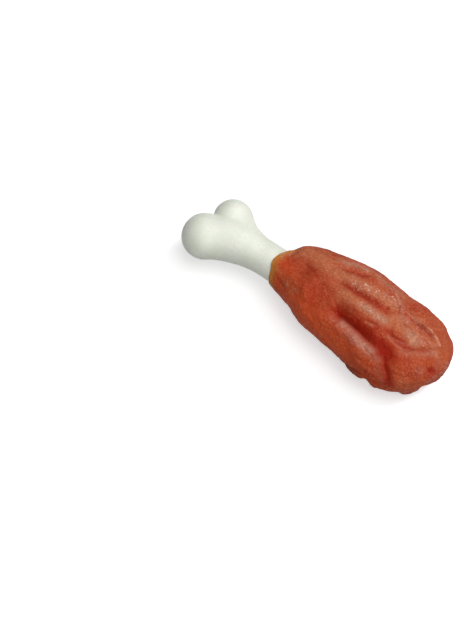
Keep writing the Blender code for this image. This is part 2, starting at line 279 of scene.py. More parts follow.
# Narrow creases that only show close up.
CREASES = {
    "groove floor": Fold(
        ((0.375, 121.5), (0.42, 120), (0.47, 119.5), (0.52, 118.5), (0.56, 120.5), (0.61, 124)),
        0.3, 0.35, 0.6, deep=0.6, pale=0.0,
    ),
    "upper floor": Fold(
        ((0.33, 88.5), (0.38, 87), (0.43, 87), (0.48, 85), (0.53, 82)), 0.18, 0.3, 0.4, deep=0.4, pale=0.0
    ),
    "hook": Fold(
        ((0.500, 101), (0.512, 101.5), (0.524, 101), (0.536, 99), (0.538, 95)),
        0.15, 0.35, 0.45, ridge=0.05, lip=0.08, deep=0.3,
    ),
    "top end": Fold(
        ((0.415, 54), (0.420, 49), (0.418, 43), (0.410, 37)), 0.15, 0.4, 0.5, lip=0.12, deep=0.2, pale=0.6
    ),
    "upright": Fold(
        ((0.50, 50), (0.524, 55.5), (0.550, 64), (0.572, 70.5), (0.60, 75)),
        0.45, 0.5, 0.6, ridge=0.3, lip=0.1, deep=0.6, pale=0.1,
    ),
    "end rib": Fold(
        ((0.595, 68), (0.626, 70), (0.656, 72), (0.681, 73), (0.706, 72.8), (0.743, 72), (0.80, 71)),
        0.38, 0.5, 0.6, ridge=0.38, lip=0.1, deep=0.8, pale=0.0,
    ),
    "pocket": Fold(
        ((0.572, 98), (0.598, 97.5), (0.623, 98), (0.653, 96.5), (0.682, 93)),
        0.18, 0.35, 0.5, ridge=0.05, lip=0.1, pale=0.4,
    ),
    "level line": Fold(
        ((0.652, 104), (0.683, 100.5), (0.713, 96), (0.742, 90.5), (0.772, 84.5), (0.805, 75)),
        0.28, 0.45, 0.55, ridge=0.1, lip=0.15, deep=0.6, pale=0.3,
    ),
    "tail floor": Fold(
        ((0.607, 119.5), (0.63, 126.5), (0.653, 135), (0.67, 144), (0.693, 153.5), (0.725, 172.5)),
        0.08, 0.5, 0.6, ridge=0.04, lip=0.03, deep=0.4, pale=0.1,
    ),
    "neck fold": Fold(
        ((0.12, 86), (0.167, 90), (0.21, 92.5), (0.247, 95), (0.285, 99.5)),
        0.16, 0.9, 0.9, deep=0.6, pale=0.0,
    ),
    "neck side": Fold(
        ((0.07, 140), (0.10, 147), (0.14, 152), (0.18, 155)), 0.16, 0.6, 0.8, ridge=0.075, lip=0.1, pale=0.1
    ),
    "slope one": Fold(
        ((0.59, 82), (0.62, 83), (0.65, 84.5), (0.69, 88)), 0.3, 0.5, 0.7, lip=0.12, deep=0.4, pale=0.3
    ),
    "slope two": Fold(((0.69, 82), (0.723, 84), (0.757, 84)), 0.25, 0.45, 0.6, lip=0.1, deep=0.4, pale=0.3),
    "shoulder line": Fold(((0.173, 62.5), (0.235, 62.5), (0.288, 60.5)), 0.09, 0.5, 0.6, lip=0.05, deep=0.2),
    "low line": Fold(
        ((0.53, 148.5), (0.573, 152.5), (0.618, 153.5), (0.657, 159.5)), 0.12, 0.5, 0.6, lip=0.06, deep=0.2
    ),
    "far line": Fold(
        ((0.792, 106.5), (0.832, 109.5), (0.88, 116.5), (0.93, 130)), 0.12, 0.6, 0.7, lip=0.06, deep=0.3
    ),
}

LUMPS = {
    "rim dip": Lump((0.04, 58), 2.3, -0.9),
    "neck shoulder": Lump((0.095, 46), 3.2, 0.5),
    "neck hollow": Lump((0.175, 97), 3.6, -0.8),
    "neck bulge": Lump((0.225, 126), 4.5, 0.6),
    "ridge foot": Lump((0.315, 112), 4.0, -0.6),
    "shoulder": Lump((0.225, 78), 5.0, 0.4),
    "side dent": Lump((0.13, 155), 2.0, -0.35),
    "fold junction": Lump((0.61, 116), 3.0, -0.8),
    "lower knuckle": Lump((0.72, 128), 5.0, 0.4),
    "tip dimple": Lump((0.855, 112.5), 1.9, -0.9),
    "far tip": Lump((0.67, 12), 2.8, -0.45),
    "end swell": Lump((0.825, 3), 2.6, 0.6),
    "top trim": Lump((0.20, 25), 3.5, -0.3),
    "low swell": Lump((0.75, 203), 1.6, 0.6),
    "flap notch": Lump((0.515, 190), 0.9, -0.7),
    "tab notch": Lump((0.615, 193), 1.0, -0.8),
    "lobe notch": Lump((0.735, 200), 1.1, -0.7),
    "tip notch": Lump((0.875, 211), 2.4, -1.3),
    "side nick": Lump((0.91, 225), 1.0, -0.5),
    "tab": Lump((0.65, 195), 1.2, 0.4),
    "low lobe": Lump((0.785, 205), 2.1, 0.8),
}

STAINS = {
    # Painted light: bright orange-red laid on the flanks, low edges and dips that the lamps light weakly.
    Tint.PAINTED_LIGHT: {
        "low flank": Stain(((0.18, 160), (0.28, 158), (0.38, 160), (0.48, 163)), 4.5, 1.2),
        "low bank": Stain(((0.47, 151), (0.53, 147)), 2.4, 0.6),
        "low cheek": Stain(((0.56, 150), (0.62, 155), (0.66, 165)), 2.6, 0.5),
        "tail side": Stain(((0.70, 150), (0.74, 160)), 2.6, 0.6),
        "rim dip": Stain(((0.055, 60), (0.08, 52), (0.09, 45)), 1.6, 0.9),
        "neck cheek": Stain(((0.05, 105), (0.10, 118), (0.18, 128)), 2.4, 0.5),
        "flank edge": Stain(((0.12, 168), (0.22, 176), (0.32, 183), (0.42, 185)), 3.0, 0.8),
        "neck side rim": Stain(((0.08, 150), (0.16, 160), (0.22, 165)), 3.0, 0.9),
    },
    # Tan, partly dried meat and partly painted highlight on the ridges and upper faces that the lamps light.
    Tint.TAN: {
        "low end": Stain(((0.74, 155), (0.80, 155), (0.86, 165)), 2.6, 0.35),
        "far rim": Stain(((0.62, 46), (0.74, 50), (0.84, 58), (0.92, 80)), 2.0, 0.25),
        "shoulder": Stain(((0.10, 68), (0.18, 73), (0.26, 77), (0.33, 80)), 3.4, 0.9),
        "upper ridge": Stain(((0.30, 80), (0.38, 78), (0.46, 75), (0.54, 71)), 2.2, 1.2),
        "groove ridge": Stain(((0.37, 96), (0.42, 95), (0.50, 92), (0.57, 90)), 1.7, 1.2),
        "top strip": Stain(((0.28, 58), (0.36, 52), (0.46, 45), (0.54, 42)), 2.4, 0.6),
        "end pad": Stain(((0.58, 84), (0.64, 87), (0.70, 87)), 2.2, 1.2),
        "far end": Stain(((0.64, 70), (0.72, 75), (0.80, 82)), 2.4, 0.8),
        "neck film": Stain(((0.08, 124), (0.117, 134), (0.155, 140)), 1.2, 0.35),
        "neck rise film": Stain(((0.19, 145), (0.21, 133)), 1.0, 0.5),
    },
    # Painted shade: dark, pure red laid in the folds, creases, dimples and hollows.
    Tint.DEEP_SHADE: {
        "groove slope": Stain(((0.40, 116), (0.44, 113.5), (0.49, 111), (0.54, 110.5), (0.6, 113)), 1.7, 1.0),
        "groove end": Stain(((0.59, 118), (0.635, 121)), 2.4, 1.4),
        "tail": Stain(((0.64, 126), (0.66, 138), (0.685, 150), (0.70, 165)), 1.8, 1.0),
        "upper crease": Stain(((0.36, 87), (0.41, 86), (0.46, 84), (0.50, 82)), 1.4, 0.85),
        "top crease": Stain(((0.31, 68), (0.36, 65), (0.39, 58)), 0.7, 0.6),
        "neck hollow": Stain(((0.10, 95), (0.16, 100), (0.24, 108), (0.30, 115)), 3.0, 0.35),
        "neck side": Stain(((0.07, 140), (0.12, 150)), 2.0, 0.25),
        "hook side": Stain(((0.516, 99), (0.529, 98.5), (0.544, 98.5)), 1.0, 0.5),
        "pocket": Stain(((0.59, 97), (0.63, 98), (0.66, 97)), 1.0, 0.7),
        "level red": Stain(((0.63, 102), (0.663, 101), (0.70, 97.5)), 0.8, 0.7),
        "right valley": Stain(((0.62, 70), (0.65, 71), (0.69, 72.5), (0.74, 73)), 0.9, 0.6),
        "tip dimple": Stain(((0.863, 113.5),), 1.7, 1.0),
        "dark spot": Stain(((0.535, 79),), 0.8, 1.0),
    },
    # Grey-pink, partly a dried film of juice and partly painted sheen on the lit walls of folds and on
    # ridges.
    Tint.PALE_SHEEN: {
        "bank start": Stain(((0.38, 127.5), (0.43, 127.5)), 0.8, 0.25),
        "groove bank": Stain(((0.44, 128), (0.50, 129), (0.57, 130.5)), 1.6, 0.65),
        "bank middle": Stain(((0.51, 129), (0.55, 129.5), (0.585, 131)), 1.5, 0.85),
        "bank end": Stain(((0.59, 132), (0.62, 136)), 1.3, 0.35),
        "mottled top": Stain(((0.29, 56), (0.322, 50), (0.367, 48)), 1.6, 0.4),
        "ridge film": Stain(((0.39, 79), (0.44, 74), (0.50, 68)), 1.4, 0.1),
        "first knob": Stain(((0.46, 93), (0.50, 91)), 1.0, 0.7),
        "last knob": Stain(((0.53, 90.5), (0.555, 90)), 1.1, 0.7),
        "far side film": Stain(((0.45, 52), (0.49, 46.5), (0.51, 43)), 1.8, 0.4),
        "side film": Stain(((0.53, 62), (0.56, 60)), 1.4, 0.3),
        "patch film": Stain(((0.59, 76.5), (0.623, 78)), 0.9, 0.45),
        "pad film": Stain(((0.655, 87), (0.69, 90)), 1.3, 0.8),
        "level band": Stain(((0.67, 107), (0.71, 101.5), (0.753, 94), (0.80, 84)), 1.0, 0.4),
        "tip film": Stain(((0.875, 92),), 1.8, 0.35),
        "low film": Stain(((0.80, 118),), 1.5, 0.4),
        "edge film": Stain(((0.92, 70), (0.94, 100), (0.925, 130), (0.89, 150)), 1.1, 0.45),
    },
    Tint.BROWN: {
        "flap": Stain(((0.53, 186.5), (0.555, 188), (0.585, 190.5)), 1.15, 1.5),
        "flap ends": Stain(((0.49, 184.5), (0.53, 186.5), (0.60, 191), (0.66, 193.5)), 0.8, 0.7),
        "low edge": Stain(((0.64, 196), (0.72, 198), (0.80, 202)), 1.0, 0.6),
    },
    # Painted highlights: fine bright lines and dots along sharp ridges.
    Tint.CREST_HIGHLIGHT: {
        "zigzag line": Stain(((0.517, 51.5), (0.539, 57), (0.555, 62)), 0.35, 0.9),
        "zigzag foot": Stain(((0.568, 66.5), (0.583, 71)), 0.35, 0.6),
        "upper rib line": Stain(((0.59, 66), (0.623, 67), (0.656, 68.5)), 0.35, 0.5),
        "rib line": Stain(((0.695, 67), (0.715, 67.5)), 0.35, 0.75),
        "rib end line": Stain(((0.74, 67.5), (0.765, 67.5), (0.79, 67.5)), 0.35, 0.75),
        "pad dots": Stain(((0.678, 86), (0.678, 92)), 0.4, 0.8),
        "hook line": Stain(((0.507, 102), (0.522, 101.5), (0.535, 100)), 0.3, 0.45),
        "level edge": Stain(((0.60, 101), (0.63, 104), (0.66, 104)), 0.35, 0.4),
        "top end line": Stain(((0.408, 46), (0.424, 47)), 0.4, 0.6),
        "neck line": Stain(((0.13, 143), (0.16, 141)), 0.35, 0.3),
    },
    # A coat of juice on the high places, with painted glints laid into the colour there.
    Tint.WET_AND_GLINTS: {
        "ridge shine": Stain(((0.38, 81), (0.40, 77.5), (0.43, 73.5), (0.47, 70)), 1.0, 1.0),
        "crest shine": Stain(((0.45, 94), (0.49, 92), (0.55, 91)), 0.7, 0.7),
        "top shine": Stain(((0.30, 54), (0.34, 48), (0.37, 48)), 1.3, 0.5),
        "side shine": Stain(((0.50, 62), (0.57, 64)), 1.4, 0.7),
        "end shine": Stain(((0.62, 72), (0.70, 79), (0.74, 84)), 1.8, 0.35),
        "rib shine": Stain(((0.70, 67), (0.74, 67), (0.79, 67)), 0.45, 0.45),
        "neck glint": Stain(((0.06, 81.5),), 0.5, 1.3),
        "rim shine": Stain(((0.02, 80), (0.03, 90)), 0.8, 1.2),
        "bank shine": Stain(((0.44, 129), (0.50, 130), (0.56, 131)), 1.0, 0.4),
    },
}

GRAINS = (
    Grain(size=7.0, height=0.32, stretch=1.6, seed=3.7),
    Grain(size=3.2, height=0.22, stretch=1.6, seed=11.3),
    Grain(size=1.6, height=0.13, stretch=1.3, seed=23.9),
    Grain(size=0.9, height=0.11, stretch=1.2, seed=41.1),
)

SKIN = (
    Crackle(size=4.5, height=0.30, stretch=1.7, seed=7.9, sharpness=14.0),
    Crackle(size=2.2, height=0.12, stretch=1.4, seed=31.7, sharpness=9.0),
)


# ---------------- meshes


def add_object(name: str, data: bpy.types.ID) -> Object:
    """Makes an object of a mesh, a light or a camera, and puts it in the scene."""
    made = bpy.data.objects.new(name, data)
    bpy.context.scene.collection.objects.link(made)
    return made


def wrapped_sphere(
    name: str, rings: int, sides: int, surface: Callable[[Array, Array], tuple[Array, dict]]
) -> Object:
    """Makes a closed mesh object from a sphere with its poles on X.

    Args:
        name: The object's name.
        rings: The number of rings from pole to pole.
        sides: The number of faces round each ring.
        surface: Gives the points, and the values to keep as attributes, for shares of the way from the first
            pole to the last and angles.

    Returns:
        The object, in the scene.
    """
    bm = bmesh.new()
    bmesh.ops.create_uvsphere(bm, u_segments=sides, v_segments=rings, radius=1.0)
    points = np.array([vert.co for vert in bm.verts])
    share = 1 - np.arccos(np.clip(points[:, 2], -1, 1)) / math.pi
    around = np.arctan2(points[:, 1], points[:, 0])
    places, values = surface(share, around)
    for vert, place in zip(bm.verts, places):
        vert.co = place
    bmesh.ops.recalc_face_normals(bm, faces=bm.faces)
    mesh = bpy.data.meshes.new(name)
    bm.to_mesh(mesh)
    bm.free()
    mesh.shade_smooth()
    for key, value in values.items():
        attribute = mesh.attributes.new(key, "FLOAT", "POINT")
        attribute.data.foreach_set("value", value.astype(np.float32))
    return add_object(name, mesh)


# ---------------- finishes


def new_material(name: str) -> tuple[Material, Tree, Node]:
    """Makes a material, and returns it with its node tree and its shader."""
    material = bpy.data.materials.new(name)
    material.use_nodes = True
    return material, material.node_tree, material.node_tree.nodes["Principled BSDF"]


def set_inputs(tree: Tree, node: Node, inputs: dict) -> None:
    """Sets a node's inputs.

    Args:
        tree: The material's node tree.
        node: The node.
        inputs: For each input socket, by name or number, a value, or the output socket that is linked to it.
    """
    for name, value in inputs.items():
        if isinstance(value, Socket):
            tree.links.new(value, node.inputs[name])
        else:
            node.inputs[name].default_value = value


def add_node(tree: Tree, kind: str, inputs: dict | None = None, **settings: str | bool) -> Node:
    """Adds a node to a material.

    Args:
        tree: The material's node tree.
        kind: The node's type.
        inputs: Its inputs, as set_inputs takes them.
        settings: Its options.

    Returns:
        The node.
    """
    node = tree.nodes.new(kind)
    for name, value in settings.items():
        setattr(node, name, value)
    set_inputs(tree, node, inputs or {})
    return node


def per_metre(size: float) -> float:
    """Returns the noise scale whose features are about size mm across."""
    return 1 / (size * MM)


@dataclass(frozen=True)
class Pattern:
    """A cloudy pattern in a material. Its size is in mm, and it runs between the noise values low and high.

    Most is how much of the pattern's colour shows where it is strongest.
    """

    size: float
    low: float
    high: float
    colour: str = ""
    most: float = 0.0
    detail: float = 3.0

    def socket(self, tree: Tree, place: Socket) -> Socket:
        """Adds the pattern to a material.

        Args:
            tree: The material's node tree.
            place: The coordinates that it is drawn in.

        Returns:
            The socket that gives the pattern, from 0 to 1.
        """
        inputs = {"Vector": place, "Scale": per_metre(self.size), "Detail": self.detail}
        cloud = add_node(tree, "ShaderNodeTexNoise", inputs)
        inputs = {"Value": cloud.outputs["Fac"], "From Min": self.low, "From Max": self.high}
        return add_node(tree, "ShaderNodeMapRange", inputs).outputs["Result"]


def blend_colour(tree: Tree, under: Socket | str, over: str, share: Socket, most: float) -> Socket:
    """Lays one colour over another.

    Args:
        tree: The material's node tree.
        under: The colour below, as a socket or a hex code.
        over: The colour on top, as a hex code.
        share: How much of it shows, from 0 to 1.
        most: What a share of 1 stands for.

    Returns:
        The socket that gives the blend.
    """
    factor = add_node(tree, "ShaderNodeMath", {0: share, 1: most}, operation="MULTIPLY", use_clamp=True)
    if isinstance(under, str):
        under = linear_colour(under)
    inputs = {0: factor.outputs[0], 6: under, 7: linear_colour(over)}
    return add_node(tree, "ShaderNodeMix", inputs, data_type="RGBA").outputs[2]


@dataclass(frozen=True)
class PressedCalcium:
    """Calcium and starch, pressed in a smooth mould: chalky off-white, faintly green, with a low sheen."""

    light: str = "F5F8ED"
    clouds: Pattern = Pattern(size=5.0, low=0.3, high=0.7, colour="E6EAD9", most=0.7)
    specks: Pattern = Pattern(size=0.7, low=0.35, high=0.75, colour="E6EAD9", most=0.8)
    grit: Pattern = Pattern(size=0.5, low=0.0, high=1.0)  # really 0.05 mm, drawn coarser so that it shows
    grit_height: float = 0.05  # mm
    roughness: float = 0.46
    ior: float = 1.5
    milkiness: float = 0.1  # share of the light that goes a little way in
    milk_reach: float = 1.0  # mm

    def material(self) -> Material:
        """Builds the material."""
        material, tree, shader = new_material("pressed_calcium")
        place = add_node(tree, "ShaderNodeTexCoord").outputs["Object"]
        colour = self.light
        for pattern in (self.clouds, self.specks):
            colour = blend_colour(tree, colour, pattern.colour, pattern.socket(tree, place), pattern.most)
        inputs = {"Height": self.grit.socket(tree, place), "Distance": self.grit_height * MM}
        inputs = {
            "Base Color": colour,
            "Normal": add_node(tree, "ShaderNodeBump", inputs).outputs["Normal"],
            "Roughness": self.roughness,
            "IOR": self.ior,
            "Subsurface Weight": self.milkiness,
            "Subsurface Scale": self.milk_reach * MM,
        }
        set_inputs(tree, shader, inputs)
        return material


@dataclass(frozen=True)
class DriedDuckMeat:
    """Duck breast strips, wrapped wet and air dried: brick red and orange in clouds, finely grained along the
    strips, and amber where light comes through a thin edge. Painted shade darkens its folds, hollows and the
    low places of its grain, painted light brightens its weakly lit flanks, and its ridges and lips are tan
    and grey-pink, partly from dried juice and partly painted highlight and sheen, with painted glints.
    """

    red: str = "A83112"
    clouds: Pattern = Pattern(size=4.5, low=0.35, high=0.65, colour="B94C25", most=0.9)
    patches: Pattern = Pattern(size=8.0, low=0.45, high=0.65, colour="B26A46", most=0.25)
    # Among these, painted light brightens the weakly lit flanks, painted shade darkens the folds and hollows,
    # and the tan, grey-pink and crest colours are partly painted highlight and sheen.
    tints: tuple[tuple[Tint, str, float], ...] = (
        (Tint.PAINTED_LIGHT, "DC582C", 0.8),
        (Tint.TAN, "BC6E48", 0.75),
        (Tint.DEEP_SHADE, "9A1B04", 0.97),
        (Tint.PALE_SHEEN, "B48672", 0.85),
        (Tint.CREST_HIGHLIGHT, "DC9674", 0.85),
        (Tint.AMBER, "D28A3E", 0.9),
        (Tint.BROWN, "8A3A1C", 0.85),
    )
    stretch: float = 1.25  # the grain is this much longer along the strips than across them
    grain: Pattern = Pattern(size=0.55, low=0.0, high=1.0)  # muscle fibre bundles
    # The pores paint shade into the grain's low places, and the specks, flecks and glints paint highlights on
    # its high places, on the tan places and on the wet places.
    pore_shade: Pattern = Pattern(size=0.55, low=0.48, high=0.34, colour="6A1806", most=0.24)  # its low places
    specks: Pattern = Pattern(size=0.55, low=0.52, high=0.68, colour="E2A484", most=0.25)  # its high places
    flecks: Pattern = Pattern(size=0.65, low=0.50, high=0.62, colour="E0A68C", most=0.2)  # on the tan places
    glints: Pattern = Pattern(size=0.4, low=0.60, high=0.65, colour="FCE4D4", most=0.8, detail=2.0)
    films: Pattern = Pattern(size=0.9, low=0.35, high=0.6)
    bare: float = 0.45  # how much of the tint PALE_SHEEN is lost in the gaps of its film
    even: Pattern = Pattern(size=3.0, low=0.38, high=0.62, detail=2.0)  # where the grain shows, in patches
    least_grain: float = 0.5  # how much of it is left between them
    calm: float = 0.8  # how much of the grain's colour is lost where the tint DEEP_SHADE is full
    grain_height: float = 0.22  # mm
    roughness: tuple[float, float] = (0.62, 0.45)  # where it is dry, and where the tint WET_AND_GLINTS is full
    coat: tuple[float, float] = (0.0, 0.2)  # the film of juice, at the same places
    coat_roughness: float = 0.22
    ior: float = 1.42
    gloss: float = 0.16
    translucency: float = 0.15  # share of the light that goes into the meat
    light_reach: float = 1.0  # mm

    def material(self) -> Material:
        """Builds the material."""
        material, tree, shader = new_material("dried_duck_meat")
        place = add_node(tree, "ShaderNodeTexCoord").outputs["Object"]
        inputs = {"Vector": place, "Scale": (1 / self.stretch, 1.0, 1.0)}
        along = add_node(tree, "ShaderNodeMapping", inputs).outputs["Vector"]
        shares = {
            tint: add_node(tree, "ShaderNodeAttribute", attribute_name=tint.value).outputs["Fac"]
            for tint in Tint
        }
        mapped = {}
        for name, source, low, high in (
            ("film", self.films.socket(tree, along), 1.0 - self.bare, 1.0),
            ("calm", shares[Tint.DEEP_SHADE], 1.0, 1.0 - self.calm),
            ("patchy", self.even.socket(tree, place), self.least_grain, 1.0),
            ("roughness", shares[Tint.WET_AND_GLINTS], *self.roughness),
            ("coat", shares[Tint.WET_AND_GLINTS], *self.coat),
        ):
            inputs = {"Value": source, "To Min": low, "To Max": high}
            mapped[name] = add_node(tree, "ShaderNodeMapRange", inputs).outputs["Result"]
        film, calm, grain = (
            add_node(tree, "ShaderNodeMath", {0: one, 1: other}, operation="MULTIPLY").outputs[0]
            for one, other in (
                (shares[Tint.PALE_SHEEN], mapped["film"]),
                (mapped["calm"], mapped["patchy"]),
                (self.grain.socket(tree, along), mapped["patchy"]),
            )
        )
        colour = self.red
        for pattern in (self.clouds, self.patches):
            colour = blend_colour(tree, colour, pattern.colour, pattern.socket(tree, place), pattern.most)
        for tint, code, most in self.tints:
            colour = blend_colour(tree, colour, code, film if tint is Tint.PALE_SHEEN else shares[tint], most)
        # Painted shade in the grain's low places, and painted highlights on its high places, the tan places
        # and the wet places.
        for pattern, share in (
            (self.pore_shade, calm),
            (self.specks, calm),
            (self.flecks, shares[Tint.TAN]),
            (self.glints, shares[Tint.WET_AND_GLINTS]),
        ):
            inputs = {0: pattern.socket(tree, along), 1: share}
            part = add_node(tree, "ShaderNodeMath", inputs, operation="MULTIPLY").outputs[0]
            colour = blend_colour(tree, colour, pattern.colour, part, pattern.most)
        inputs = {"Height": grain, "Distance": self.grain_height * MM}
        bump = add_node(tree, "ShaderNodeBump", inputs).outputs["Normal"]
        inputs = {
            "Base Color": colour,
            "Normal": bump,
            "Coat Normal": bump,
            "Roughness": mapped["roughness"],
            "Coat Weight": mapped["coat"],
            "Coat Roughness": self.coat_roughness,
            "IOR": self.ior,
            "Specular IOR Level": self.gloss,
            "Subsurface Weight": self.translucency,
            "Subsurface Scale": self.light_reach * MM,
        }
        set_inputs(tree, shader, inputs)
        return material


@dataclass(frozen=True)
class PalePaper:
    """The studio's roll of matt white paper."""

    colour: str = "FBFBFB"
    roughness: float = 0.9
    glow: float = 0.42  # it lies on a light box, which keeps the shadow light

    def material(self) -> Material:
        """Builds the material."""
        material, tree, shader = new_material("pale_paper")
        inputs = {
            "Base Color": linear_colour(self.colour),
            "Roughness": self.roughness,
            "Emission Color": linear_colour(self.colour),
            "Emission Strength": self.glow,
        }
        set_inputs(tree, shader, inputs)
        return material


# ---------------- the bone


def taper_distance(points: Array, start: Array, start_radius: float, end: Array, end_radius: float) -> Array:
    """Measures points against a rod with round ends.

    Args:
        points: The points.
        start: The centre of its first end.
        start_radius: The radius there.
        end: The centre of its last end.
        end_radius: The radius there.

    Returns:
        Each point's distance from its surface, negative inside.
    """
    offset = points - start
    rod = end - start
    length = np.linalg.norm(rod)
    sine = (start_radius - end_radius) / length  # of the angle between the rod's axis and its side
    along = offset @ rod / length
    beside = np.sqrt(np.maximum(np.sum(offset * offset, axis=1) - along * along, 0))
    share = np.clip((along - beside * sine / math.sqrt(1 - sine * sine)) / length, 0, 1)
    radius = start_radius + (end_radius - start_radius) * share
    return np.linalg.norm(offset - share[:, None] * rod, axis=1) - radius


@dataclass(frozen=True)
class Bone:
    """The moulded bone: two unequal lobes side by side, and a shaft that runs into the meat.

    Low and high are the corners of its solid's box.
    """

    low: Vector
    high: Vector
    shaft_radius: float = 5.35 * MM
    shaft_y: float = -0.15 * MM
    big_radius: float = 7.1 * MM
    small_radius: float = 6.15 * MM
    set_back: float = 3.45 * MM  # the small lobe lies this much nearer to the meat
    small_root_radius: float = 4.2 * MM
    small_root_x: float = -26.0 * MM
    small_root_y: float = 0.2 * MM
    head_radius: float = 6.3 * MM
    head_x: float = -30.5 * MM
    head_y: float = -0.8 * MM
    even_x: float = -20.0 * MM  # from here on the shaft keeps its radius
    head_flatness: float = 0.08  # share of its height that the head loses
    head_reach: float = 4.0 * MM
    lobe_blend: float = 0.6 * MM
    head_blend: float = 3.0 * MM
    rings: int = 128
    sides: int = 120
    # shares of the rings: lobes' end, hub, mouth, dome, hidden end
    stops: tuple[float, ...] = (0.0, 0.5, 0.86, 0.93, 1.0)
    mouth_x: float = -12.8 * MM
    march_steps: int = 60
    uneven: tuple[Grain, ...] = (
        Grain(size=9.0, height=0.10, stretch=1.0, seed=5.3),
        Grain(size=3.0, height=0.03, stretch=1.0, seed=17.9),
    )

    def centre_height(self) -> float:
        """Returns the height of the middle of the shaft and the lobes."""
        return (self.low.z + self.high.z) / 2

    def big_lobe(self) -> Array:
        """Returns the big lobe's centre."""
        return np.array([self.low.x + self.big_radius, self.low.y + self.big_radius, self.centre_height()])

    def small_lobe(self) -> Array:
        """Returns the small lobe's centre."""
        x = self.big_lobe()[0] + self.set_back
        return np.array([x, self.high.y - self.small_radius, self.centre_height()])

    def distance(self, points: Array) -> Array:
        """Measures points against the bone.

        Args:
            points: The points.

        Returns:
            Each point's distance from its surface, negative inside.
        """
        z = self.centre_height()
        head = np.array([self.head_x, self.head_y, z])
        even = np.array([self.even_x, self.shaft_y, z])
        dome = np.array([self.high.x - self.shaft_radius, self.shaft_y, z])
        root = np.array([self.small_root_x, self.small_root_y, z])
        big = taper_distance(points, self.big_lobe(), self.big_radius, head, self.head_radius)
        small = taper_distance(points, self.small_lobe(), self.small_radius, root, self.small_root_radius)
        neck = taper_distance(points, head, self.head_radius, even, self.shaft_radius)
        shaft = np.minimum(neck, taper_distance(points, even, self.shaft_radius, dome, self.shaft_radius))
        lobes = smooth_min(big, small, self.lobe_blend)
        return smooth_min(lobes, shaft, self.head_blend)

    def surface(self, share: Array, around: Array) -> tuple[Array, dict]:
        """Finds the bone's surface.

        Args:
            share: Places from the lobes' end at 0 to the hidden end at 1.
            around: Angles round the bone.

        Returns:
            A point for each place, and no attributes.
        """
        hub = (self.big_lobe() + self.small_lobe()) / 2
        dome_x = self.high.x - self.shaft_radius
        spine_x = np.interp(share, self.stops, (hub[0], hub[0], self.mouth_x, dome_x, dome_x))
        spine_y = np.interp(spine_x, (hub[0], self.even_x), (hub[1], self.shaft_y))
        tilt = np.interp(share, self.stops, (-math.pi / 2, 0.0, 0.0, 0.0, math.pi / 2))
        out = np.stack([np.sin(tilt), np.cos(tilt) * np.cos(around), np.cos(tilt) * np.sin(around)], axis=1)
        points = np.stack([spine_x, spine_y, np.full_like(spine_x, hub[2])], axis=1)
        for _ in range(self.march_steps):
            points = points - out * self.distance(points)[:, None]
        flatter = 1 - self.head_flatness * bell((points[:, 0] - self.head_x) / self.head_reach)
        points[:, 2] = hub[2] + (points[:, 2] - hub[2]) * flatter
        shown = 1 - ease((points[:, 0] - self.even_x) / (self.mouth_x - self.even_x))
        rise = sum(layer.heights(points) for layer in self.uneven)
        return points + out * (rise * shown)[:, None], {}

    def build(self) -> Object:
        """Models the bone, dresses it and puts it in its solid's place."""
        bone = wrapped_sphere("moulded_bone", self.rings, self.sides, self.surface)
        bone.data.materials.append(PressedCalcium().material())
        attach(bone, "root")
        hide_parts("bone")
        log.info("%s: %d faces", bone.name, len(bone.data.polygons))
        return bone


# ---------------- the meat


